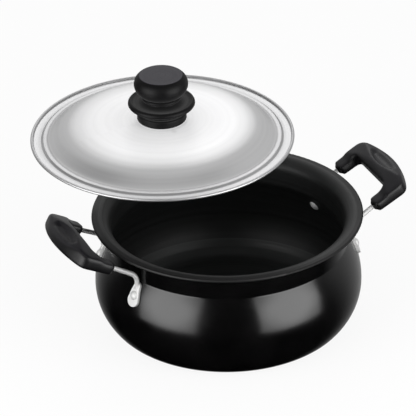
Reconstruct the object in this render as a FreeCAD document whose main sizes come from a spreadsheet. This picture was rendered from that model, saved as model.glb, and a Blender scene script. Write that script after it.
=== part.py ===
"""Handi pot: a bellied cooking pot with two riveted rod handles and a lid with a knob.

Millimetres. The origin is the centre of the pot's flat base, +Z is up and the handles
lie along X. The lid is shown lifted off, level above the pot and to one side.
"""
import FreeCAD, Part
import Sketcher
import os
import re
from math import asin, atan2, cos, degrees, radians, sin, sqrt, tan

Vec = FreeCAD.Vector
ORIGIN = Vec(0, 0, 0)
UP = Vec(0, 0, 1)
TOUCH = 0.01

SIZES = {
    # pot: a spun bowl of even wall
    "pot_height": 102.3,
    "belly_radius": 113.7,
    "belly_share": 0.37,
    "wall": 3.0,
    "base_corner": 20.6,
    "lower_share": 0.466,
    "shoulder_share": 0.688,
    "neck_inset": 11.7,
    "neck_crease": 2.5,
    "lip_bend": 8.0,
    "lip_overhang": 13.0,
    # rivets that hold the handle rods
    "rivet_lean": 23.5,
    "rivet_spacing": 75.7,
    "rivet_shank": 2.5,
    "rivet_clearance": 0.1,
    "rivet_head": 3.9,
    "rivet_head_height": 1.9,
    "rivet_button": 4.6,
    "rivet_button_height": 1.8,
    "button_gap": 0.25,
    # handle rods
    "rod_radius": 2.0,
    "rod_stand_off": 1.8,
    "rod_spacing": 70.1,
    "knee_share": 0.58,
    "rod_bend": 12.0,
    "bend_lead": 2.0,
    "rod_corner": 7.0,
    "rod_run_out": 28.0,
    "handle_tilt": 28.5,
    "pad_thickness": 2.2,
    "pad_radius": 5.8,
    "pad_top_radius": 3.4,
    "pad_drop": 4.2,
    "pad_rise": 8.0,
    "pad_clearance": 0.05,
    "neck_spread": 1.15,
    "neck_flat": 0.46,
    "neck_share": 0.6,
    # moulded grips
    "grip_gap": 4.3,
    "grip_drop": 6.9,
    "boss_length": 2.4,
    "boss_wall": 1.9,
    "leg_length": 17.6,
    "leg_width": 13.6,
    "leg_above": 4.8,
    "leg_below": 4.7,
    "bar_depth": 21.9,
    "grip_bow": 90.0,
    "grip_corner": 8.0,
    "gap_corner": 4.0,
    "step_reach": 12.0,
    "crest_reach": 28.7,
    "crest_rise": 11.6,
    "crown_rise": 10.2,
    "crown_bow": 195.0,
    "brow_rise": 2.0,
    "bar_below": 6.6,
    "hollow_round": 8.0,
    "grip_edge": 2.4,
    "leg_end_edge": 0.8,
    "channel_clearance": 0.15,
    "scoop_length": 60.0,
    "scoop_width": 17.0,
    "scoop_height": 12.0,
    "scoop_depth": 1.7,
    "scoop_lean": 12.0,
    "scoop_share": 0.42,
    # lid: pressed sheet with a dome, a stepped flange and a rolled edge
    "lid_radius": 110.4,
    "lid_sheet": 0.8,
    "lid_flange": 15.0,
    "dome_height": 18.2,
    "dome_foot": 1.4,
    "dome_crease": 1.2,
    "flange_step": 9.6,
    "lid_edge": 1.3,
    "lid_lift": 72.3,
    "lid_shift_x": -48.8,
    "lid_shift_y": 20.8,
    # knob, its brass insert, the screw and the washer under the lid
    "knob_seat": 22.0,
    "knob_collar": 20.7,
    "collar_height": 6.9,
    "collar_round": 1.4,
    "collar_groove": 0.9,
    "groove_depth": 1.5,
    "disc_bottom": 12.4,
    "knob_disc": 28.0,
    "disc_round": 2.5,
    "dish_round": 13.0,
    "knob_waist": 15.2,
    "waist_rise": 1.4,
    "ring_height": 3.4,
    "ring_round": 1.75,
    "cap_groove": 1.0,
    "cap_foot": 16.6,
    "knob_cap": 22.6,
    "cap_lower": 9.4,
    "cap_upper": 8.1,
    "knob_top": 17.9,
    "insert_radius": 4.5,
    "insert_length": 16.0,
    "insert_clearance": 0.05,
    "screw_radius": 2.5,
    "screw_clearance": 0.1,
    "screw_grip": 12.0,
    "screw_head": 4.8,
    "screw_head_height": 3.0,
    "washer_radius": 8.0,
    "washer_thickness": 1.2,
}

WORKED = {
    "belly_height": "pot_height * belly_share",
    "lower_curve": "pot_height * lower_share",
    "shoulder_curve": "pot_height * shoulder_share",
    "neck_radius": "belly_radius - neck_inset",
    "rim_radius": "neck_radius + lip_overhang",
    "lower_sin": "(belly_height - base_corner) / (lower_curve - base_corner)",
    "lower_cos": "sqrt(1 - lower_sin ^ 2)",
    "base_flat": "belly_radius - lower_curve + (lower_curve - base_corner) * lower_cos",
    "crease_cos": "1 - neck_inset / (shoulder_curve + neck_crease)",
    "crease_sin": "sqrt(1 - crease_cos ^ 2)",
    "neck_foot": "belly_height + (shoulder_curve + neck_crease) * crease_sin",
    "rivet_height": "belly_height + shoulder_curve * sin(rivet_lean * 1deg)",
    "rivet_circle": "belly_radius - shoulder_curve * (1 - cos(rivet_lean * 1deg))",
    "pad_top": "pad_clearance + pad_thickness",
    "button_face": "wall + button_gap",
    "rod_line": "neck_radius + rod_stand_off + rod_radius",
    "grip_start": "rim_radius + grip_gap",
    "grip_rod_height": "pot_height - grip_drop",
    "leg_outer": "(rod_spacing + leg_width) / 2",
    "leg_inner": "(rod_spacing - leg_width) / 2",
    "gap_end": "boss_length + leg_length",
    "grip_reach": "gap_end + bar_depth",
    "bow_centre": "grip_reach - grip_bow",
    "corner_along": "leg_outer - grip_corner",
    "corner_reach": "sqrt((grip_bow - grip_corner) ^ 2 - corner_along ^ 2)",
    "bow_stretch": "grip_bow / (grip_bow - grip_corner)",
    "brow_run": "grip_reach - crest_reach",
    "brow_fall": "crest_rise - brow_rise",
    "brow_length": "sqrt(brow_run ^ 2 + brow_fall ^ 2)",
    "spare": "rod_radius * 4",
    "dome_drop": "dome_height - dome_foot - lid_sheet",
    "dome_run": "lid_radius - lid_flange - knob_seat",
    "dome_turn": "(dome_run ^ 2 + (dome_drop - dome_crease) ^ 2 - dome_crease ^ 2) / 2",
    "dome_curve": "dome_turn / dome_drop",
    "dome_sin": "dome_run / (dome_curve + dome_crease)",
    "dome_cos": "sqrt(1 - dome_sin ^ 2)",
    "flange_line": "lid_radius - flange_step",
    "bead_line": "lid_radius - lid_edge",
    "disc_top": "disc_bottom + 2 * disc_round",
    "waist_top": "disc_top + waist_rise + ring_height",
    "cap_bottom": "waist_top + cap_groove",
    "cap_middle": "cap_bottom + cap_lower",
    "knob_height": "cap_middle + cap_upper",
    "head_top": "lid_sheet + washer_thickness",
}


def bound(expression, own=()):
    """The expression with each size named as the cell of its sheet."""
    def cell(word):
        name = word[0]
        if name in SIZES:
            return "Sizes." + name
        return "Worked." + name if name in WORKED and name not in own else name
    return re.sub(r"[a-z_]+", cell, expression)


doc = FreeCAD.newDocument("HandiPot")
sizes = doc.addObject("Spreadsheet::Sheet", "Sizes")
for row, (label, value) in enumerate(SIZES.items(), start=1):
    sizes.set(f"A{row}", label)
    sizes.set(f"B{row}", str(value))
    sizes.setAlias(f"B{row}", label)
doc.recompute()
worked = doc.addObject("Spreadsheet::Sheet", "Worked")
for row, (label, formula) in enumerate(WORKED.items(), start=1):
    worked.set(f"A{row}", label)
    worked.setAlias(f"B{row}", label)
    worked.set(f"B{row}", "=" + bound(formula, WORKED))
doc.recompute()


def size(name):
    """The value of one cell of either sheet."""
    return float(getattr(sizes if name in SIZES else worked, name))


def worth(expression):
    """The number that an expression over the sheets gives."""
    return float(sizes.evalExpression(bound(expression)))


# Sketches whose every corner is bound to the sheets

def origin_plane(body, role):
    for feature in body.Origin.OriginFeatures:
        if feature.Role == role:
            return feature


def arc_between(start, end, radius, turn):
    """The short arc from start to end; turn is 1 for anticlockwise and -1 for clockwise."""
    chord = end - start
    middle = (start + end) * 0.5
    rise = sqrt(max(radius ** 2 - (chord.Length / 2) ** 2, 0.0))
    side = Vec(-chord.y, chord.x, 0).normalize() * turn
    centre = middle + side * rise
    first, last = (start, end) if turn > 0 else (end, start)
    angle_first = atan2(first.y - centre.y, first.x - centre.x)
    angle_last = atan2(last.y - centre.y, last.x - centre.x)
    return Part.ArcOfCircle(Part.Circle(centre, UP, radius), angle_first, angle_last)


def pin_corner(sketch, geometry, end, axis, expression, label):
    """Hold one coordinate of a corner at an expression over the sheets."""
    value = worth(expression)
    if abs(value) < 1e-9:
        sketch.addConstraint(Sketcher.Constraint("PointOnObject", geometry, end, -2 if axis == "X" else -1))
        return
    number = sketch.addConstraint(Sketcher.Constraint("Distance" + axis, -1, 1, geometry, end, value))
    sketch.renameConstraint(number, label)
    sketch.setExpression("Constraints." + label, bound(expression))


def outline(body, name, plane, corners):
    """A closed sketch through corners, each (x, y) or (x, y, radius, turn) for an arc that ends there."""
    sketch = body.newObject("Sketcher::SketchObject", name)
    sketch.AttachmentSupport = [(origin_plane(body, plane), "")]
    sketch.MapMode = "FlatFace"
    points = [Vec(worth(corner[0]), worth(corner[1]), 0) for corner in corners]
    starts = []
    ends = []
    for number, corner in enumerate(corners):
        start, end = points[number - 1], points[number]
        if len(corner) == 2:
            piece = sketch.addGeometry(Part.LineSegment(start, end), False)
            starts.append((piece, 1))
            ends.append((piece, 2))
            continue
        radius, turn = corner[2], corner[3]
        piece = sketch.addGeometry(arc_between(start, end, worth(radius), turn), False)
        starts.append((piece, 1 if turn > 0 else 2))
        ends.append((piece, 2 if turn > 0 else 1))
        bend = sketch.addConstraint(Sketcher.Constraint("Radius", piece, worth(radius)))
        sketch.renameConstraint(bend, f"bend{number}")
        sketch.setExpression(f"Constraints.bend{number}", bound(radius))
    for number, corner in enumerate(corners):
        following = starts[(number + 1) % len(corners)]
        sketch.addConstraint(Sketcher.Constraint("Coincident", *ends[number], *following))
        pin_corner(sketch, *ends[number], "X", corner[0], f"across{number}")
        pin_corner(sketch, *ends[number], "Y", corner[1], f"along{number}")
    return sketch


def revolved(name, corners):
    """A body turned about Z from a half section of (radius, height) corners."""
    body = doc.addObject("PartDesign::Body", name)
    section = outline(body, name + "_section", "XZ_Plane", corners)
    turned = body.newObject("PartDesign::Revolution", name + "_turned")
    turned.Profile = section
    turned.ReferenceAxis = (section, ["V_Axis"])
    turned.Angle = 360
    body.Tip = turned
    return body


def dome_radius(width, height):
    """The radius of a shallow dome from its half width and its height."""
    return f"({width} ^ 2 + {height} ^ 2) / (2 * {height})"


# Pot

def lower_joint(inset):
    """Where the base corner meets the lower curve, on a skin set in from the outside."""
    curve = f"(lower_curve - {inset})"
    return f"belly_radius - lower_curve + {curve} * lower_cos", f"belly_height - {curve} * lower_sin"


def crease_joint(inset):
    """Where the shoulder meets the neck crease, on a skin set in from the outside."""
    curve = f"(shoulder_curve - {inset})"
    return f"belly_radius - shoulder_curve + {curve} * crease_cos", f"belly_height + {curve} * crease_sin"


def pot_bowl():
    return revolved("pot_bowl", [
        ("0", "0"),
        ("base_flat", "0"),
        (*lower_joint("0"), "base_corner", 1),
        ("belly_radius", "belly_height", "lower_curve", 1),
        (*crease_joint("0"), "shoulder_curve", 1),
        ("neck_radius", "neck_foot", "neck_crease", -1),
        ("neck_radius", "pot_height - wall - lip_bend"),
        ("neck_radius + lip_bend", "pot_height - wall", "lip_bend", -1),
        ("rim_radius - wall / 2", "pot_height - wall"),
        ("rim_radius", "pot_height - wall / 2", "wall / 2", 1),
        ("rim_radius - wall / 2", "pot_height", "wall / 2", 1),
        ("neck_radius + lip_bend", "pot_height"),
        ("neck_radius - wall", "pot_height - wall - lip_bend", "lip_bend + wall", 1),
        ("neck_radius - wall", "neck_foot"),
        (*crease_joint("wall"), "neck_crease + wall", 1),
        ("belly_radius - wall", "belly_height", "shoulder_curve - wall", -1),
        (*lower_joint("wall"), "lower_curve - wall", -1),
        ("base_flat", "wall", "base_corner - wall", -1),
        ("0", "wall"),
    ])


# Rivet seats on the shoulder

def rivet_seat(row):
    """Point, outward normal and upward tangent on the shoulder; row is 1 or -1 along Y."""
    azimuth = asin(size("rivet_spacing") / 2 / size("rivet_circle"))
    lean = radians(size("rivet_lean"))
    across, along = cos(azimuth), row * sin(azimuth)
    point = Vec(size("rivet_circle") * across, size("rivet_circle") * along, size("rivet_height"))
    normal = Vec(across * cos(lean), along * cos(lean), sin(lean))
    upward = Vec(-across * sin(lean), -along * sin(lean), cos(lean))
    return point, normal, upward


def seat_frame(row):
    """Placement of a rivet's own frame: X across the pad, Y up the shoulder, Z outwards."""
    point, normal, upward = rivet_seat(row)
    return FreeCAD.Placement(point, FreeCAD.Rotation(upward.cross(normal), upward, normal, "ZXY"))


def rivet(name):
    """A rivet along its own Z: a low dome on the pad and a button inside the pot."""
    return revolved(name, [
        ("0", "-button_face - rivet_button_height"),
        ("rivet_button", "-button_face", dome_radius("rivet_button", "rivet_button_height"), 1),
        ("rivet_shank", "-button_face"),
        ("rivet_shank", "pad_top"),
        ("rivet_head", "pad_top"),
        ("0", "pad_top + rivet_head_height", dome_radius("rivet_head", "rivet_head_height"), 1),
    ])


def rivet_hole(name):
    """The drill that clears a rivet's shank through the wall."""
    drill = doc.addObject("Part::Cylinder", name)
    drill.setExpression("Radius", bound("rivet_shank + rivet_clearance"))
    drill.setExpression("Height", bound("4 * wall"))
    return drill


# Handle rods

def tangent_path(points, radii):
    """Straight runs joined by tangent arcs, one radius for each inner point."""
    edges = []
    start = points[0]
    for before, corner, after, radius in zip(points, points[1:], points[2:], radii):
        inward = (before - corner).normalize()
        onward = (after - corner).normalize()
        half_turn = inward.getAngle(onward) / 2
        bisector = (inward + onward).normalize()
        centre = corner + bisector * (radius / sin(half_turn))
        enter = corner + inward * (radius / tan(half_turn))
        leave = corner + onward * (radius / tan(half_turn))
        edges.append(Part.LineSegment(start, enter).toShape())
        edges.append(Part.Arc(enter, centre - bisector * radius, leave).toShape())
        start = leave
    edges.append(Part.LineSegment(start, points[-1]).toShape())
    return Part.Wire(edges)


def grip_frame():
    """Placement of the grips' own frame: X along the tilted legs, Z square to them, from the rods' exit."""
    exit_point = Vec(size("grip_start"), 0, size("grip_rod_height"))
    return FreeCAD.Placement(exit_point, FreeCAD.Rotation(Vec(0, 1, 0), -size("handle_tilt")))


def mirrored(half):
    """The points of one half of a path, then those of the other half, back across the XZ plane."""
    return half + [Vec(point.x, -point.y, point.z) for point in reversed(half)]


def held_run(reach):
    """The rod's corners inside a grip, in the grip's own frame, from a reach outside it."""
    side = size("rod_spacing") / 2
    return mirrored([Vec(-reach, side, 0), Vec(size("rod_run_out"), side, 0)])


def rod_points():
    """The rod's corners, from its foot at one rivet round the grip to the other."""
    seat, normal, upward = rivet_seat(1)
    outward = Vec(seat.x, seat.y, 0).normalize() * size("rod_line")
    foot = size("rivet_height") + size("pad_rise") * upward.z + size("pad_thickness") * normal.z
    held = [grip_frame().multVec(point) for point in held_run(size("bend_lead"))[:2]]
    fall = (held[0].x - outward.x) * tan(radians(size("handle_tilt")))
    knee = Vec(outward.x, outward.y, held[0].z - fall)
    return mirrored([Vec(outward.x, outward.y, foot), knee] + held)


def knee_radius(foot, knee, after):
    """A bend that takes its share of the upright run from the rod's foot."""
    upright = foot - knee
    return size("knee_share") * upright.Length * tan(upright.getAngle(after - knee) / 2)


def swept_bar(points, bends, radius):
    """A round bar along straight runs joined by bends."""
    path = tangent_path(points, bends)
    ring = Part.Wire([Part.makeCircle(radius, points[0], points[1] - points[0])])
    return path.makePipeShell([ring], True, False)


# Degrees up the shoulder and about Z that hold both pads of one side
LAYER_LEANS = (1, 26, 52)
LAYER_SECTOR = 90


def pad_outline(height):
    """A teardrop in the rivet's own frame: the rivet is in its wide end."""
    low, high = size("pad_radius"), size("pad_top_radius")
    centre_low, centre_high = -size("pad_drop"), size("pad_rise")
    lean = asin((low - high) / (centre_high - centre_low))
    right_low = Vec(low * cos(lean), centre_low + low * sin(lean), height)
    right_high = Vec(high * cos(lean), centre_high + high * sin(lean), height)
    left_low = Vec(-right_low.x, right_low.y, height)
    left_high = Vec(-right_high.x, right_high.y, height)
    return Part.Wire([
        Part.Arc(left_low, Vec(0, centre_low - low, height), right_low).toShape(),
        Part.LineSegment(right_low, right_high).toShape(),
        Part.Arc(right_high, Vec(0, centre_high + high, height), left_high).toShape(),
        Part.LineSegment(left_high, left_low).toShape(),
    ])


def shoulder_layer(start, end):
    """A layer of the space outside the shoulder, between two distances from it, about +X."""
    turns = [radians(lean) for lean in LAYER_LEANS]
    centre = Vec(size("belly_radius") - size("shoulder_curve"), 0, size("belly_height"))
    inner, outer = [
        [centre + Vec(radius * cos(turn), 0, radius * sin(turn)) for turn in turns]
        for radius in (size("shoulder_curve") + start, size("shoulder_curve") + end)
    ]
    section = Part.Face(Part.Wire([
        Part.Arc(*inner).toShape(),
        Part.LineSegment(inner[2], outer[2]).toShape(),
        Part.Arc(*reversed(outer)).toShape(),
        Part.LineSegment(outer[0], inner[0]).toShape(),
    ]))
    section.rotate(ORIGIN, UP, -LAYER_SECTOR / 2)
    return section.revolve(ORIGIN, UP, LAYER_SECTOR)


def flattened_end(row, foot, bowl):
    """The rod's end, hammered flat into a pad that follows the shoulder, with the rivet's hole."""
    frame = seat_frame(row)
    deep = size("spare")
    plate = Part.Face(pad_outline(-deep)).extrude(Vec(0, 0, 2 * deep))
    hole_radius = size("rivet_shank") + size("rivet_clearance")
    plate = plate.cut(Part.makeCylinder(hole_radius, 2 * deep, Vec(0, 0, -deep), UP))
    plate.Placement = frame
    plate = plate.common(shoulder_layer(size("pad_clearance"), size("pad_top"))).cut(bowl)
    middle = size("pad_clearance") + size("pad_thickness") / 2
    wide = size("pad_top_radius") * size("neck_spread")
    flat = Part.Ellipse(ORIGIN, wide, size("pad_thickness") * size("neck_flat")).toShape()
    along = size("pad_rise") * size("neck_share")
    lying = FreeCAD.Placement(Vec(0, along, middle), FreeCAD.Rotation(Vec(1, 0, 0), 90))
    flat.Placement = frame.multiply(lying)
    ring = Part.makeCircle(size("rod_radius"), foot, UP)
    neck = Part.makeLoft([Part.Wire([flat]), Part.Wire([ring])], True, True)
    return [plate, neck]


def rod_shape(bowl):
    """The bent rod with both of its flattened ends, kept clear of the bowl."""
    corners = rod_points()
    bends = [knee_radius(*corners[:3]), size("rod_bend"), size("rod_corner")]
    bar = swept_bar(corners, bends + bends[::-1], size("rod_radius"))
    ends = flattened_end(1, corners[0], bowl) + flattened_end(-1, corners[-1], bowl)
    return bar.fuse(ends).removeSplitter()


# Grip, in its own frame: the plan of the U and the side view, each padded, with what they share
# rounded off, a boss round the rod at each leg's end and a scoop for the thumb on top of the bar

CREST = ("crest_reach", "crest_rise")
STEP = ("step_reach", "leg_above")


def grip_plan(name):
    body = doc.addObject("PartDesign::Body", name)
    bend_x = "bow_centre + corner_reach"
    touch_x = "bow_centre + corner_reach * bow_stretch"
    section = outline(body, name + "_section", "XY_Plane", [
        ("boss_length", "-leg_outer"),
        (bend_x, "-leg_outer"),
        (touch_x, "-corner_along * bow_stretch", "grip_corner", 1),
        (touch_x, "corner_along * bow_stretch", "grip_bow", 1),
        (bend_x, "leg_outer", "grip_corner", 1),
        ("boss_length", "leg_outer"),
        ("boss_length", "leg_inner"),
        ("gap_end - gap_corner", "leg_inner"),
        ("gap_end", "leg_inner - gap_corner", "gap_corner", -1),
        ("gap_end", "gap_corner - leg_inner"),
        ("gap_end - gap_corner", "-leg_inner", "gap_corner", -1),
        ("boss_length", "-leg_inner"),
    ])
    pad = body.newObject("PartDesign::Pad", name + "_pad")
    pad.Profile = section
    pad.SideType = "Symmetric"
    pad.setExpression("Length", bound("2 * pot_height"))
    body.Tip = pad
    return body


def grip_side(name):
    body = doc.addObject("PartDesign::Body", name)
    section = outline(body, name + "_section", "XZ_Plane", [
        ("-spare", "-leg_below"),
        ("grip_reach + spare", "-bar_below"),
        ("grip_reach + spare", "brow_rise - spare * brow_fall / brow_run"),
        CREST,
        STEP,
        ("-spare", "leg_above"),
    ])
    pad = body.newObject("PartDesign::Pad", name + "_pad")
    pad.Profile = section
    pad.SideType = "Symmetric"
    pad.setExpression("Length", bound("2 * rod_spacing"))
    body.Tip = pad
    return body


def eased(body, name, corners, radius):
    """Round the edges that run along Y through some corners of a padded side view."""
    doc.recompute()
    base = body.Tip
    places = [Vec(worth(x), 0, worth(z)) for x, z in corners]
    names = []
    for number, edge in enumerate(base.Shape.Edges, start=1):
        for place in places:
            if all(Vec(end.X, 0, end.Z).distanceToPoint(place) < TOUCH for end in edge.Vertexes):
                names.append(f"Edge{number}")
    fillet = body.newObject("PartDesign::Fillet", name)
    fillet.Base = (base, names)
    fillet.setExpression("Radius", bound(radius))
    body.Tip = fillet


def rounded(name, base, radius, wanted):
    """A fillet over every edge of a solid that a test picks."""
    doc.recompute()
    fillet = doc.addObject("Part::Fillet", name)
    fillet.Base = base
    fillet.Edges = [(number, size(radius), size(radius))
                    for number, edge in enumerate(base.Shape.Edges, start=1) if wanted(edge)]
    return fillet


def edge_points(edge):
    first, last = edge.FirstParameter, edge.LastParameter
    return [edge.valueAt(first + (last - first) * part) for part in (0, 0.37, 1)]


def on_crown(point):
    return abs(Vec(0, point.y, point.z - worth("crown_rise - crown_bow")).Length - size("crown_bow")) < TOUCH


def is_long_edge(edge):
    """True where a wall of the U meets its top or its underside."""
    start, middle, end = edge_points(edge)
    upright = abs(start.x - end.x) < TOUCH and abs(start.y - end.y) < TOUCH
    level = abs(start.x - end.x) < TOUCH and abs(start.x - middle.x) < TOUCH
    ridge = start.y * end.y < 0 and on_crown(middle)
    return not upright and not ridge and (not level or abs(start.x - size("gap_end")) < TOUCH)


def is_leg_end(edge):
    return all(abs(point.x - size("boss_length")) < TOUCH for point in edge_points(edge))


def crown(name):
    """A long barrel whose top lowers the crest towards the grip's ends."""
    barrel = doc.addObject("Part::Cylinder", name)
    barrel.setExpression("Radius", bound("crown_bow"))
    barrel.setExpression("Height", bound("2 * grip_reach"))
    barrel.Placement = FreeCAD.Placement(ORIGIN, FreeCAD.Rotation(Vec(0, 1, 0), 90))
    barrel.setExpression("Placement.Base.x", bound("-spare"))
    barrel.setExpression("Placement.Base.z", bound("crown_rise - crown_bow"))
    return barrel


def boss(name, row):
    """A short collar round the rod at a leg's end; row is 1 or -1 along Y."""
    collar = doc.addObject("Part::Cylinder", name)
    collar.setExpression("Radius", bound("rod_radius + channel_clearance + boss_wall"))
    collar.setExpression("Height", bound("2 * boss_length"))
    collar.Placement = FreeCAD.Placement(ORIGIN, FreeCAD.Rotation(Vec(0, 1, 0), 90))
    collar.setExpression("Placement.Base.y", bound(f"{row} * rod_spacing / 2"))
    return collar


def thumb_scoop(name):
    """An ellipsoid that dips into the bar's sloping top, deepest beside the crest."""
    tool = doc.addObject("Part::Ellipsoid", name)
    tool.setExpression("Radius1", bound("scoop_height / 2"))
    tool.setExpression("Radius2", bound("scoop_width / 2"))
    tool.setExpression("Radius3", bound("scoop_length / 2"))
    fall = degrees(atan2(size("brow_fall"), size("brow_run")))
    away = "scoop_height / 2 - scoop_depth"
    tool.Placement = FreeCAD.Placement(ORIGIN, FreeCAD.Rotation(Vec(0, 1, 0), fall - size("scoop_lean")))
    tool.setExpression("Placement.Base.x", bound(
        f"crest_reach + (brow_run * scoop_share) + ({away}) * brow_fall / brow_length"))
    tool.setExpression("Placement.Base.z", bound(
        f"crest_rise - (brow_fall * scoop_share) + ({away}) * brow_run / brow_length"))
    return tool


def grip(name):
    """One moulded grip in its own frame, with the channel that the rod lies in."""
    plan = grip_plan(name + "_plan")
    side = grip_side(name + "_side")
    eased(side, name + "_hollow", [STEP], "hollow_round")
    block = doc.addObject("Part::MultiCommon", name + "_block")
    block.Shapes = [plan, side, crown(name + "_crown")]
    smooth = rounded(name + "_smooth", block, "grip_edge", is_long_edge)
    trimmed = rounded(name + "_trimmed", smooth, "leg_end_edge", is_leg_end)
    collared = doc.addObject("Part::MultiFuse", name + "_collared")
    collared.Shapes = [trimmed, boss(name + "_boss_rear", 1), boss(name + "_boss_front", -1)]
    channel = doc.addObject("Part::Feature", name + "_channel")
    bends = [size("rod_corner"), size("rod_corner")]
    channel_radius = size("rod_radius") + size("channel_clearance")
    channel.Shape = swept_bar(held_run(size("bend_lead")), bends, channel_radius)
    cuts = doc.addObject("Part::MultiFuse", name + "_cuts")
    cuts.Shapes = [channel, thumb_scoop(name + "_scoop")]
    whole = doc.addObject("Part::Cut", name)
    whole.Base = collared
    whole.Tool = cuts
    return whole


# Lid and knob, about the lid's own axis

def dome_joint(inset):
    """Where the dome meets the crease at its foot, on a skin set in from the top."""
    curve = f"(dome_curve - {inset})"
    return f"knob_seat + {curve} * dome_sin", f"dome_height - dome_curve + {curve} * dome_cos"


def lid_plate():
    """The sheet; its underside outside the step lies on the pot's rim when the lid is on."""
    hole = "screw_radius + screw_clearance"
    foot_line = "lid_radius - lid_flange"
    return revolved("lid", [
        (hole, "dome_height - lid_sheet"),
        ("knob_seat", "dome_height - lid_sheet"),
        (*dome_joint("lid_sheet"), "dome_curve - lid_sheet", -1),
        (foot_line, "dome_foot", "dome_crease + lid_sheet", 1),
        ("flange_line - dome_foot", "dome_foot"),
        ("flange_line", "0"),
        ("bead_line", "0"),
        ("lid_radius", "lid_edge", "lid_edge", 1),
        ("bead_line", "2 * lid_edge", "lid_edge", 1),
        ("bead_line - sqrt(lid_edge ^ 2 - (lid_edge - lid_sheet) ^ 2)", "lid_sheet", "lid_edge", 1),
        ("flange_line + lid_sheet / 2", "lid_sheet"),
        ("flange_line + lid_sheet / 2 - dome_foot", "dome_foot + lid_sheet"),
        (foot_line, "dome_foot + lid_sheet"),
        (*dome_joint("0"), "dome_crease", -1),
        ("knob_seat", "dome_height", "dome_curve", 1),
        (hole, "dome_height"),
    ])


def lid_knob():
    bore = "insert_radius + insert_clearance"
    return revolved("lid_knob", [
        ("0", "insert_length + insert_clearance"),
        (bore, "insert_length + insert_clearance"),
        (bore, "0"),
        ("knob_collar - collar_round", "0"),
        ("knob_collar", "collar_round", "collar_round", 1),
        ("knob_collar", "collar_height - collar_round"),
        ("knob_collar - collar_round", "collar_height", "collar_round", 1),
        ("knob_collar - collar_round - groove_depth", "collar_height"),
        ("knob_collar - collar_round - groove_depth", "collar_height + collar_groove"),
        ("knob_collar - groove_depth", "collar_height + 2 * collar_groove"),
        ("knob_collar - groove_depth / 2", "disc_bottom"),
        ("knob_disc - disc_round", "disc_bottom"),
        ("knob_disc", "disc_bottom + disc_round", "disc_round", 1),
        ("knob_disc - disc_round", "disc_top", "disc_round", 1),
        ("knob_waist", "disc_top + waist_rise / 2", "dish_round", -1),
        ("knob_waist", "disc_top + waist_rise"),
        ("knob_waist", "waist_top", "ring_round", 1),
        ("knob_waist", "cap_bottom"),
        ("cap_foot", "cap_bottom"),
        ("knob_cap", "cap_middle", dome_radius("cap_lower", "(knob_cap - cap_foot)"), 1),
        ("knob_top", "knob_height", dome_radius("cap_upper", "(knob_cap - knob_top)"), 1),
        ("0", "knob_height"),
    ])


def knob_insert():
    return revolved("knob_insert", [
        ("screw_radius + screw_clearance", "0"),
        ("insert_radius", "0"),
        ("insert_radius", "insert_length"),
        ("screw_radius + screw_clearance", "insert_length"),
    ])


def knob_washer():
    return revolved("knob_washer", [
        ("screw_radius + screw_clearance", "-head_top"),
        ("washer_radius", "-head_top"),
        ("washer_radius", "-lid_sheet"),
        ("screw_radius + screw_clearance", "-lid_sheet"),
    ])


def knob_screw():
    crown = "screw_head_height / 2"
    return revolved("knob_screw", [
        ("0", "-head_top - screw_head_height"),
        ("screw_head", f"-head_top - {crown}", dome_radius("screw_head", f"({crown})"), 1),
        ("screw_head", "-head_top"),
        ("screw_radius", "-head_top"),
        ("screw_radius", "screw_grip"),
        ("0", "screw_grip"),
    ])


# The pieces in place

bowl = pot_bowl()
doc.recompute()
half_turn = FreeCAD.Placement(ORIGIN, FreeCAD.Rotation(UP, 180))
drills = []
pieces = []
for side, facing, turn in (("right", 1, FreeCAD.Placement()), ("left", -1, half_turn)):
    rod = doc.addObject("Part::Feature", f"handle_rod_{side}")
    rod.Shape = rod_shape(bowl.Shape)
    rod.Placement = turn
    hold = grip(f"grip_{side}")
    hold.Placement = turn.multiply(grip_frame())
    pieces += [rod, hold]
    for end, row in (("front", -facing), ("rear", facing)):
        seat = turn.multiply(seat_frame(row))
        pin = rivet(f"rivet_{side}_{end}")
        pin.Placement = seat
        drill = rivet_hole(f"drill_{side}_{end}")
        drill.Placement = seat.multiply(FreeCAD.Placement(Vec(0, 0, -3 * size("wall")), FreeCAD.Rotation()))
        pieces.append(pin)
        drills.append(drill)

drilling = doc.addObject("Part::MultiFuse", "drilling")
drilling.Shapes = drills
pot = doc.addObject("Part::Cut", "pot_body")
pot.Base = bowl
pot.Tool = drilling
pieces.append(pot)

plate = lid_plate()
fittings = [lid_knob(), knob_insert(), knob_screw(), knob_washer()]
for piece in [plate] + fittings:
    piece.setExpression("Placement.Base.x", bound("lid_shift_x"))
    piece.setExpression("Placement.Base.y", bound("lid_shift_y"))
    above = "" if piece is plate else " + dome_height"
    piece.setExpression("Placement.Base.z", bound("pot_height + lid_lift" + above))
pieces += [plate] + fittings

doc.recompute()
for item in doc.Objects:
    if "Invalid" in item.State or "Error" in item.State:
        raise RuntimeError(f"{item.Name} did not build")

os.makedirs("parts", exist_ok=True)
for piece in pieces:
    if piece.Shape.isNull() or not piece.Shape.isValid():
        raise RuntimeError(f"{piece.Name} has no valid shape")
    piece.Shape.exportStep(f"parts/{piece.Label}.step")
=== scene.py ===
"""The looks of the handi pot: its finishes, a pale floor, studio lights and the photograph's camera.

Metres, in the CAD's own frame: the origin is the centre of the pot's base and +Z is up.
"""

from math import cos, pi, radians, sin

import bpy
from mathutils import Matrix, Vector


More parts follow.
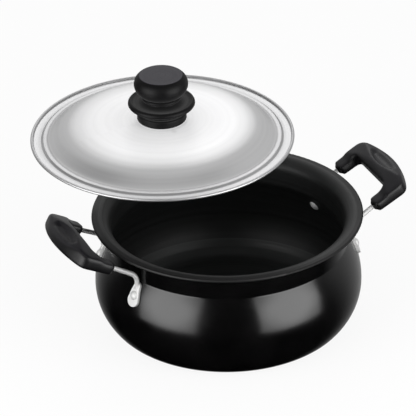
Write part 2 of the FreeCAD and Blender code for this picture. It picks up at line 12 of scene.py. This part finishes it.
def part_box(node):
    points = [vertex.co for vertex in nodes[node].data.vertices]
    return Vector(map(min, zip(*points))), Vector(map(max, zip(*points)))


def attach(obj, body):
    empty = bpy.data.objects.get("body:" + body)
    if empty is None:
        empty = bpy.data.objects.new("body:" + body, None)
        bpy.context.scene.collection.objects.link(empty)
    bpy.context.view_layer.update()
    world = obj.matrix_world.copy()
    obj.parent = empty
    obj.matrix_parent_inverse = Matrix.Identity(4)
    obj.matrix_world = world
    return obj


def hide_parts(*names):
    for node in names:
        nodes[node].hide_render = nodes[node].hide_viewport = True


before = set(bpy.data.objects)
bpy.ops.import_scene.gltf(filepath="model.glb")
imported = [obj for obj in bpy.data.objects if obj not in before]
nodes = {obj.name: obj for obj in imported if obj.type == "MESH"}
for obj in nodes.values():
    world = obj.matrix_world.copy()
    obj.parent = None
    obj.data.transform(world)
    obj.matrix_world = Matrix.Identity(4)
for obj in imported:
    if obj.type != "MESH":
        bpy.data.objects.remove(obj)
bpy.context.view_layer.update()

MM = 0.001
IMAGE_WIDTH = 416

# The photograph's camera
CAMERA_AZIMUTH = radians(-23.11)
CAMERA_ELEVATION = radians(29.62)
CAMERA_ROLL = radians(1.19)
CAMERA_DISTANCE = 3045 * MM
CAMERA_FOCAL_PIXELS = 3600
SENSOR_WIDTH = 36
AIM_HEIGHT = 102.3 * MM
AIM_LEFT = 16.2 * MM
AIM_UP = 3.0 * MM

# The object's own measures, from the frame
POT_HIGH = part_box("pot_body")[1]
LID_LOW, LID_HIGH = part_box("lid")
LID_AXIS = (LID_LOW + LID_HIGH) / 2
KNOB_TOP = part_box("lid_knob")[1].z
FLANGE_WIDTH = 15 * MM

# How far noise drifts along a turned ring, in metres for each radian
RING_DRIFT = 0.0004

# A wall's normal points this far inwards, in metres off the axis, where it is the pot's inside
INWARD = -0.0004


def placed(name, data):
    """A new object, linked to the scene."""
    made = bpy.data.objects.new(name, data)
    bpy.context.scene.collection.objects.link(made)
    return made


def heading(azimuth, elevation):
    """The direction towards a lamp or camera that stands at that azimuth and elevation."""
    return Vector((sin(azimuth) * cos(elevation), -cos(azimuth) * cos(elevation), sin(elevation)))


def rgb(red, green, blue):
    return (red, green, blue, 1.0)


# Nodes

class Nodes:
    """Short ways to add and join the nodes of a material, a lamp or the world."""

    def __init__(self, tree):
        self.tree = tree

    def add(self, kind, **settings):
        node = self.tree.nodes.new(kind)
        for name, value in settings.items():
            setattr(node, name, value)
        return node

    def feed(self, socket, value):
        if isinstance(value, bpy.types.NodeSocket):
            self.tree.links.new(value, socket)
        else:
            socket.default_value = value

    def maths(self, operation, *values):
        node = self.add("ShaderNodeMath", operation=operation)
        for socket, value in zip(node.inputs, values):
            self.feed(socket, value)
        return node.outputs[0]

    def between(self, value, low, high, start=0.3, end=0.7, course="LINEAR"):
        """A value from start to end mapped to a value from low to high."""
        node = self.add("ShaderNodeMapRange", interpolation_type=course)
        for socket, number in zip(node.inputs, (value, start, end, low, high)):
            self.feed(socket, number)
        return node.outputs[0]

    def blended(self, share, first, second, data_type="RGBA"):
        """One colour where share is 0 and another where it is 1, or one number and another for FLOAT."""
        node = self.add("ShaderNodeMix", data_type=data_type)
        for label, value in (("Factor", share), ("A", first), ("B", second)):
            self.feed(node.inputs[label], value)
        return node.outputs["Result"]


class Recipe(Nodes):
    """A material with its Principled shader, and the patterns that finishes are made from."""

    def __init__(self, name):
        self.material = bpy.data.materials.new(name)
        self.material.use_nodes = True
        super().__init__(self.material.node_tree)
        self.shader = self.tree.nodes["Principled BSDF"]
        self.place = self.add("ShaderNodeTexCoord").outputs["Object"]

    def stretched(self, scale):
        """The place on the surface, scaled along each axis."""
        node = self.add("ShaderNodeMapping")
        self.feed(node.inputs["Vector"], self.place)
        self.feed(node.inputs["Scale"], scale)
        return node.outputs["Vector"]

    def noise(self, scale, detail, place=None, roughness=0.5):
        node = self.add("ShaderNodeTexNoise")
        for label, value in (("Vector", place or self.place), ("Scale", scale),
                             ("Detail", detail), ("Roughness", roughness)):
            self.feed(node.inputs[label], value)
        return node.outputs["Fac"]

    def apart(self, vector):
        """The X, Y and Z of a vector."""
        node = self.add("ShaderNodeSeparateXYZ")
        self.feed(node.inputs[0], vector)
        return node.outputs

    def rings(self, centre):
        """Radius from an upright axis, height, and a slow turn about it, as one vector for noise."""
        x, y, z = self.apart(self.place)
        x = self.maths("SUBTRACT", x, centre.x)
        y = self.maths("SUBTRACT", y, centre.y)
        squares = self.maths("ADD", self.maths("POWER", x, 2.0), self.maths("POWER", y, 2.0))
        radius = self.maths("SQRT", squares)
        turn = self.maths("ARCTAN2", y, x)
        node = self.add("ShaderNodeCombineXYZ")
        self.feed(node.inputs[0], radius)
        self.feed(node.inputs[1], z)
        self.feed(node.inputs[2], self.maths("MULTIPLY", turn, RING_DRIFT))
        return node.outputs[0], radius

    def bump(self, height, strength, distance, normal=None):
        node = self.add("ShaderNodeBump")
        for label, value in (("Strength", strength), ("Distance", distance), ("Height", height)):
            self.feed(node.inputs[label], value)
        if normal:
            self.feed(node.inputs["Normal"], normal)
        return node.outputs["Normal"]

    def finish(self, **inputs):
        for name, value in inputs.items():
            self.feed(self.shader.inputs[name.replace("_", " ")], value)
        return self.material


# Finishes

def anodised_shell():
    """Hard black anodising: glossy outside, duller on the lip, satin with turning lines inside, and a
    floor painted lighter to stand in for the light that falls in through the mouth.
    """
    make = Recipe("anodised_shell")
    lathe, _ = make.rings(Vector((0, 0, 0)))
    lines = make.noise(900, 4.0, lathe, 0.65)
    broad = make.noise(300, 3.0, lathe)
    mottle = make.noise(38, 4.0)
    geometry = make.add("ShaderNodeNewGeometry")
    outward = make.add("ShaderNodeVectorMath", operation="MULTIPLY")
    make.feed(outward.inputs[0], geometry.outputs["Normal"])
    make.feed(outward.inputs[1], make.place)
    across_x, across_y, _ = make.apart(outward.outputs[0])
    facing_axis = make.maths("LESS_THAN", make.maths("ADD", across_x, across_y), INWARD)
    height = make.apart(make.place)[2]
    below_middle = make.maths("LESS_THAN", height, POT_HIGH.z / 2)
    normal_up = make.apart(geometry.outputs["Normal"])[2]
    floor_up = make.maths("MULTIPLY", make.maths("GREATER_THAN", normal_up, 0.5), below_middle)
    inside = make.maths("MAXIMUM", facing_axis, floor_up)
    tint = make.between(mottle, 0.0, 1.0)
    outer = make.blended(tint, rgb(0.0010, 0.0010, 0.0011), rgb(0.0022, 0.0021, 0.0022))
    cloud = make.between(broad, 0.0, 1.0)
    wall = make.blended(cloud, rgb(0.0022, 0.0026, 0.0026), rgb(0.0062, 0.0068, 0.0066))
    # Painted light: the inside floor, facing up, gets a lighter colour than the walls in place of the
    # light falling on it.
    painted_floor_light = make.blended(cloud, rgb(0.0170, 0.0188, 0.0185), rgb(0.0250, 0.0268, 0.0262))
    inner = make.blended(floor_up, wall, painted_floor_light)
    lip = make.between(height, 0.0, 0.36, POT_HIGH.z - 9 * MM, POT_HIGH.z - 3 * MM)
    gloss = make.maths("ADD", make.between(mottle, 0.15, 0.21), lip)
    satin = make.between(lines, 0.38, 0.62)
    normal = make.bump(make.maths("MULTIPLY", lines, inside), 0.5, 0.00008)
    normal = make.bump(make.noise(900, 2.0), 0.03, 0.00002, normal)
    return make.finish(
        Base_Color=make.blended(inside, outer, inner),
        Roughness=make.blended(inside, gloss, satin, "FLOAT"),
        Normal=normal,
    )


def moulded_grip():
    """Black phenolic moulding: a fine satin skin, with painted light: greyer in uneven patches where it
    faces up, standing in for the sheen those faces catch.
    """
    make = Recipe("moulded_grip")
    skin = make.noise(2400, 2.0)
    flow = make.noise(90, 4.0)
    upward = make.apart(make.add("ShaderNodeNewGeometry").outputs["Normal"])[2]
    facing_up = make.between(upward, 0.0, 1.0, 0.55, 0.95)
    # Painted light: faces that point up get a greyer colour, in uneven patches, in place of the light
    # they catch from above.
    painted_top_light = make.maths("MULTIPLY", facing_up, make.between(flow, 0.5, 1.0))
    return make.finish(
        Base_Color=make.blended(painted_top_light, rgb(0.0030, 0.0029, 0.0034), rgb(0.0110, 0.0102, 0.0132)),
        Roughness=make.between(flow, 0.36, 0.46),
        Specular_IOR_Level=0.38,
        Normal=make.bump(skin, 0.25, 0.00006),
    )


def turned_knob():
    """The same moulding, duller, with its flat top disc painted greyer to stand in for the light that
    falls on it from above.
    """
    make = Recipe("turned_knob")
    lathe, _ = make.rings(LID_AXIS)
    rings = make.noise(900, 3.0, lathe)
    skin = make.noise(1800, 2.0)
    grain = make.between(skin, 0.0, 1.0)
    side = make.blended(grain, rgb(0.0012, 0.0011, 0.0013), rgb(0.0028, 0.0026, 0.0031))
    # Painted light: the flat top disc is coloured greyer than the sides in place of the light it catches
    # from above.
    painted_lit_top = make.blended(grain, rgb(0.0300, 0.0285, 0.0350), rgb(0.0420, 0.0400, 0.0490))
    top = make.between(make.apart(make.place)[2], 0.0, 1.0, KNOB_TOP - 0.3 * MM, KNOB_TOP - 0.1 * MM)
    return make.finish(
        Base_Color=make.blended(top, side, painted_lit_top),
        Roughness=make.between(rings, 0.44, 0.54),
        Specular_IOR_Level=0.19,
        Normal=make.bump(rings, 0.10, 0.00003, make.bump(skin, 0.12, 0.00004)),
    )


def spun_steel():
    """Stainless sheet: a bright satin dome, duller at the knob, and a greyer flange and edge."""
    make = Recipe("spun_steel")
    lathe, radius = make.rings(LID_AXIS)
    lines = make.noise(3200, 4.0, lathe, 0.7)
    bands = make.noise(260, 3.0, lathe)
    rim = LID_HIGH.x - LID_AXIS.x
    foot = rim - FLANGE_WIDTH
    flange = make.between(radius, 0.0, 1.0, foot - 0.5 * MM, foot + 0.5 * MM)
    middle = make.between(radius, 0.16, 0.0, 24 * MM, 62 * MM)
    grain = make.maths("ADD", make.maths("MULTIPLY", lines, 0.7), make.maths("MULTIPLY", bands, 0.3))
    satin = make.maths("ADD", make.between(grain, 0.34, 0.40), middle)
    bead = make.between(radius, 0.0, 0.1, rim - 3.5 * MM, rim - 2.5 * MM)
    rolled = make.maths("ADD", make.between(lines, 0.36, 0.44), bead)
    tone = make.between(bands, 0.0, 1.0)
    dome = make.blended(tone, rgb(0.84, 0.84, 0.845), rgb(0.90, 0.90, 0.905))
    edge = make.blended(tone, rgb(0.59, 0.59, 0.595), rgb(0.68, 0.68, 0.685))
    return make.finish(
        Base_Color=make.blended(flange, dome, edge),
        Metallic=1.0,
        Roughness=make.blended(flange, satin, rolled, "FLOAT"),
        Normal=make.bump(lines, 0.08, 0.00003),
    )


def bright_steel():
    """Rods, rivets and fasteners: pale satin steel with fine scratches."""
    make = Recipe("bright_steel")
    scratches = make.noise(1400, 4.0, make.stretched((1.0, 0.25, 1.0)))
    marks = make.noise(220, 3.0)
    tone = make.between(marks, 0.0, 1.0)
    return make.finish(
        Base_Color=make.blended(tone, rgb(0.86, 0.86, 0.86), rgb(0.93, 0.93, 0.92)),
        Metallic=1.0,
        Roughness=make.between(scratches, 0.70, 0.82),
        Normal=make.bump(marks, 0.15, 0.0001, make.bump(scratches, 0.12, 0.00003)),
    )


def turned_brass():
    """The knob's insert, with fine turning lines."""
    make = Recipe("turned_brass")
    lathe, _ = make.rings(LID_AXIS)
    lines = make.noise(2400, 3.0, lathe)
    tone = make.between(lines, 0.0, 1.0)
    return make.finish(
        Base_Color=make.blended(tone, rgb(0.56, 0.38, 0.13), rgb(0.70, 0.50, 0.20)),
        Metallic=1.0,
        Roughness=make.between(lines, 0.22, 0.34),
        Normal=make.bump(lines, 0.2, 0.00003),
    )


def dress(names, material):
    """Gives every material slot of these CAD nodes the one finish."""
    for name in names:
        slots = nodes[name].data.materials
        for place in range(len(slots)):
            slots[place] = material


def starting(word):
    return [name for name in nodes if name.startswith(word)]


# Grips as the tool leaves them: every edge run over, and a leaf-shaped seat for the thumb

# The rod's exit from a leg, and the slope of the legs
GRIP_EXIT = Vector((119.3, 0, 95.4)) * MM
GRIP_TILT = radians(28.5)
GRIP_VOXEL = 0.65 * MM
GRIP_SOFTENING = 60
SEAT_DEPTH = 2.0 * MM
SEAT_HALF = 21 * MM
SEAT_INNER = 28.6 * MM
SEAT_OUTER = 40 * MM
SEAT_BOW = 51 * MM
SEAT_RIM = 1.4 * MM
TOP_SIDE = 3 * MM


def eased(value):
    """0 below 0, 1 above 1 and smooth between."""
    value = min(max(value, 0.0), 1.0)
    return value * value * (3 - 2 * value)


def seat_depth(along, across):
    """How deep the thumb's seat is, along the legs from the rod's exit and across the grip."""
    inner = SEAT_INNER + across * across / (2 * SEAT_BOW)
    wall = eased((along - inner) / SEAT_RIM)
    fading = eased((SEAT_OUTER - along) / (SEAT_OUTER - inner)) if along > inner else 1.0
    ends = eased((SEAT_HALF - abs(across)) / (SEAT_HALF / 3))
    return SEAT_DEPTH * wall * fading * ends


def skin_of(name, facing):
    """A moulded skin over a grip's solid; facing is 1 on the right and -1 on the left."""
    skin = placed(name.replace("grip", "grip_skin"), nodes[name].data.copy())
    shell = skin.modifiers.new("shell", "REMESH")
    shell.mode = "VOXEL"
    shell.voxel_size = GRIP_VOXEL
    soft = skin.modifiers.new("soft", "SMOOTH")
    soft.factor = 0.5
    soft.iterations = GRIP_SOFTENING
    seen = skin.evaluated_get(bpy.context.evaluated_depsgraph_get())
    mesh = bpy.data.meshes.new_from_object(seen)
    skin.modifiers.clear()
    skin.data = mesh
    legs = Vector((cos(GRIP_TILT), 0, sin(GRIP_TILT)))
    square = Vector((-sin(GRIP_TILT), 0, cos(GRIP_TILT)))
    for vertex in mesh.vertices:
        place = Vector((vertex.co.x * facing, vertex.co.y * facing, vertex.co.z)) - GRIP_EXIT
        if place.dot(square) < TOP_SIDE:
            continue
        lowered = place - square * seat_depth(place.dot(legs), place.y) + GRIP_EXIT
        vertex.co = (lowered.x * facing, lowered.y * facing, lowered.z)
    mesh.shade_smooth()
    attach(skin, "root")
    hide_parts(name)
    return skin


grip_skins = [skin_of("grip_right", 1), skin_of("grip_left", -1)]


# Lid as it is pressed: a gentle crown that rolls over a shoulder down to the flange

# Millimetres: each point is its distance from the lid's axis and its height over the lid's lowest ring
LID_SHEET = 0.8
SCREW_HOLE = 2.6
CROWN = (
    (22, 18.2), (36, 17.7), (50, 16.65), (58, 15.85), (66, 14.9), (74, 13.7), (80, 12.3), (84.5, 10.2),
    (88.5, 7.2), (91.5, 4.75), (94, 3.0), (96, 2.35), (97.2, 2.2),
)
FLANGE_UNDER = (
    (97.6, 1.4), (99.2, 1.4), (99.5, 1.25), (100.5, 0.25), (100.9, 0), (101.3, 0), (108.6, 0),
)
FLANGE_TOP = (
    (107.5, 0.8), (101.6, 0.8), (101.2, 0.85), (100.9, 1.1), (100.1, 1.9), (99.8, 2.15), (99.4, 2.2),
    (97.6, 2.2),
)
BEAD_LINE = 109.1
BEAD_RADIUS = 1.3
BEAD_DEGREES = range(-90, 203, 12)
CROWN_STEPS = 6
LID_TURNS = 256


def through(points, steps):
    """A smooth line through points, with the same count of steps between each two."""
    line = []
    last = len(points) - 1
    for place in range(last):
        near = [Vector(points[min(max(place + shift, 0), last)]) for shift in (-1, 0, 1, 2)]
        before, start, end, after = near
        for step in range(steps):
            t = step / steps
            line.append(0.5 * (2 * start + (end - before) * t
                               + (2 * before - 5 * start + 4 * end - after) * t * t
                               + (3 * start - before - 3 * end + after) * t * t * t))
    line.append(Vector(points[-1]))
    return line


def sunk(line, depth):
    """The same line moved square to itself, downwards."""
    moved = []
    for place, point in enumerate(line):
        run = line[min(place + 1, len(line) - 1)] - line[max(place - 1, 0)]
        square = Vector((run.y, -run.x)).normalized()
        moved.append(point + square * depth)
    return moved


def bead_point(turn):
    return Vector((BEAD_LINE + BEAD_RADIUS * cos(turn), BEAD_RADIUS * (1 + sin(turn))))


def lid_section():
    """The sheet's closed outline: out along the underside, round the edge and back along the top."""
    crown = through(CROWN, CROWN_STEPS)
    seat = CROWN[0][1]
    loop = [Vector((SCREW_HOLE, seat - LID_SHEET))]
    loop += sunk(crown, LID_SHEET)
    loop += [Vector(point) for point in FLANGE_UNDER]
    loop += [bead_point(radians(degrees)) for degrees in BEAD_DEGREES]
    loop += [Vector(point) for point in FLANGE_TOP]
    loop += crown[::-1]
    loop += [Vector((SCREW_HOLE, seat))]
    return loop


def lid_skin():
    """The lid's section turned round its axis, in place of the lid's plain solid."""
    loop = lid_section()
    count = len(loop)
    corners = []
    for turn in range(LID_TURNS):
        angle = 2 * pi * turn / LID_TURNS
        across, along = cos(angle) * MM, sin(angle) * MM
        corners += [(LID_AXIS.x + point.x * across, LID_AXIS.y + point.x * along,
                     LID_LOW.z + point.y * MM) for point in loop]
    faces = []
    for turn in range(LID_TURNS):
        here, there = turn * count, (turn + 1) % LID_TURNS * count
        for place in range(count):
            after = (place + 1) % count
            faces.append((here + place, there + place, there + after, here + after))
    mesh = bpy.data.meshes.new("lid_skin")
    mesh.from_pydata(corners, [], faces)
    mesh.shade_smooth()
    skin = placed("lid_skin", mesh)
    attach(skin, "root")
    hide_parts("lid")
    return skin


pressed_lid = lid_skin()


# Materials in place

dress(["pot_body"], anodised_shell())
phenolic = moulded_grip()
dress(starting("grip"), phenolic)
for skin in grip_skins:
    skin.data.materials.clear()
    skin.data.materials.append(phenolic)
dress(["lid_knob"], turned_knob())
sheet = spun_steel()
dress(["lid"], sheet)
pressed_lid.data.materials.append(sheet)
steel = bright_steel()
dress(starting("handle_rod"), steel)
dress(starting("rivet"), steel)
dress(["knob_screw", "knob_washer"], steel)
dress(["knob_insert"], turned_brass())


# Camera

def photo_camera():
    back = heading(CAMERA_AZIMUTH, CAMERA_ELEVATION)
    right = Vector((cos(CAMERA_AZIMUTH), sin(CAMERA_AZIMUTH), 0))
    up = back.cross(right)
    aim = Vector((0, 0, AIM_HEIGHT)) - right * AIM_LEFT + up * AIM_UP
    rolled_right = right * cos(CAMERA_ROLL) - up * sin(CAMERA_ROLL)
    rolled_up = right * sin(CAMERA_ROLL) + up * cos(CAMERA_ROLL)
    data = bpy.data.cameras.new("camera")
    data.lens = CAMERA_FOCAL_PIXELS / IMAGE_WIDTH * SENSOR_WIDTH
    data.sensor_width = SENSOR_WIDTH
    data.clip_start = 0.05
    data.clip_end = 50
    camera = placed("camera", data)
    turned = Matrix((rolled_right, rolled_up, back)).transposed().to_4x4()
    camera.matrix_world = Matrix.Translation(aim + back * CAMERA_DISTANCE) @ turned
    bpy.context.scene.camera = camera


photo_camera()


# Floor, world and lights

FLOOR_HALF = 6.0
FLOOR_WHITE = 0.90
FLOOR_GLOW = 0.88

# Reflections: the glow's middle behind the object, and how bright it is; the fill is for matt surfaces
GLOW_AZIMUTH = radians(146)
GLOW = 0.5
FILL = 0.6

LAMP_TARGET = Vector((0, 0, 0.07))
SOFTBOX_EDGE = 0.45

# Name, azimuth, elevation, distance, width, height and how bright its face looks
LAMPS = (
    ("softbox_left", -74, 9, 1.2, 1.15, 1.15, 3.7),
    ("softbox_right", 28, 9, 1.2, 1.25, 1.15, 3.8),
    ("panel_behind", 159, 36, 1.4, 0.54, 0.70, 1.3),
)


def pale_floor():
    """A white floor that the camera sees as white except in the object's soft shadow."""
    mesh = bpy.data.meshes.new("floor")
    corners = [(x * FLOOR_HALF, y * FLOOR_HALF, 0) for x, y in ((-1, -1), (1, -1), (1, 1), (-1, 1))]
    mesh.from_pydata(corners, [], [(0, 1, 2, 3)])
    floor = placed("floor", mesh)
    make = Recipe("pale_floor")
    rays = make.add("ShaderNodeLightPath").outputs
    seen = make.maths("MAXIMUM", rays["Is Camera Ray"], rays["Is Glossy Ray"])
    seen = make.maths("MAXIMUM", seen, rays["Is Transmission Ray"])
    lit = make.add("ShaderNodeBsdfDiffuse")
    make.feed(lit.inputs["Color"], rgb(FLOOR_WHITE, FLOOR_WHITE, FLOOR_WHITE))
    glow = make.add("ShaderNodeEmission")
    make.feed(glow.inputs["Color"], rgb(1, 1, 1))
    make.feed(glow.inputs["Strength"], 1.0)
    mixed = make.add("ShaderNodeMixShader")
    make.feed(mixed.inputs[0], make.maths("MULTIPLY", seen, FLOOR_GLOW))
    make.feed(mixed.inputs[1], lit.outputs[0])
    make.feed(mixed.inputs[2], glow.outputs[0])
    make.feed(make.tree.nodes["Material Output"].inputs["Surface"], mixed.outputs[0])
    make.tree.nodes.remove(make.shader)
    mesh.materials.append(make.material)
    floor.visible_glossy = False


def studio_world():
    """White to the camera, a soft glow behind and over the object in reflections, and a soft fill."""
    world = bpy.data.worlds.new("studio")
    world.use_nodes = True
    bpy.context.scene.world = world
    make = Nodes(world.node_tree)
    background = make.tree.nodes["Background"]
    rays = make.add("ShaderNodeLightPath").outputs
    direction = make.add("ShaderNodeTexCoord").outputs["Generated"]

    def backdrop(elevation, start, end):
        """A smooth rise to the glow as a direction comes nearer to one behind the object."""
        near = make.add("ShaderNodeVectorMath", operation="DOT_PRODUCT")
        make.feed(near.inputs[0], direction)
        make.feed(near.inputs[1], heading(GLOW_AZIMUTH, radians(elevation)))
        return make.between(near.outputs["Value"], 0.0, GLOW, start, end, "SMOOTHSTEP")

    glow = make.maths("MAXIMUM", backdrop(28, 0.0, 0.7), backdrop(90, 0.75, 0.97))
    mirrored = make.maths("MULTIPLY", rays["Is Glossy Ray"], glow)
    fill = make.maths("MULTIPLY", rays["Is Diffuse Ray"], FILL)
    seen = make.maths("MAXIMUM", rays["Is Camera Ray"], rays["Is Transmission Ray"])
    strength = make.maths("MAXIMUM", make.maths("MAXIMUM", seen, mirrored), fill)
    make.feed(background.inputs["Strength"], strength)
    make.feed(background.inputs["Color"], rgb(1, 1, 1))


def softbox(name, azimuth, elevation, distance, width, height, radiance):
    """A flat lamp that faces the object; radiance is how bright its face looks."""
    data = bpy.data.lights.new(name, "AREA")
    data.shape = "RECTANGLE"
    data.size = width
    data.size_y = height
    data.energy = 4 * width * height * radiance
    data.use_nodes = True
    make = Nodes(data.node_tree)
    centred = make.add("ShaderNodeVectorMath", operation="DISTANCE")
    make.feed(centred.inputs[0], make.add("ShaderNodeNewGeometry").outputs["Parametric"])
    make.feed(centred.inputs[1], (0.5, 0.5, 0))
    fade = make.between(centred.outputs["Value"], 1.0, SOFTBOX_EDGE, 0.25, 0.62, "SMOOTHSTEP")
    make.feed(make.tree.nodes["Emission"].inputs["Strength"], fade)
    lamp = placed(name, data)
    towards = heading(radians(azimuth), radians(elevation))
    lamp.location = LAMP_TARGET + towards * distance
    lamp.rotation_mode = "QUATERNION"
    lamp.rotation_quaternion = towards.to_track_quat("Z", "Y")
    lamp.visible_camera = False


pale_floor()
studio_world()
for lamp in LAMPS:
    softbox(*lamp)

# The photograph's dome is bright right up to the knob, with no dark image of it
for name in ("lid_knob", "knob_insert", "knob_screw"):
    nodes[name].visible_glossy = False

bpy.context.scene.view_settings.view_transform = "Standard"
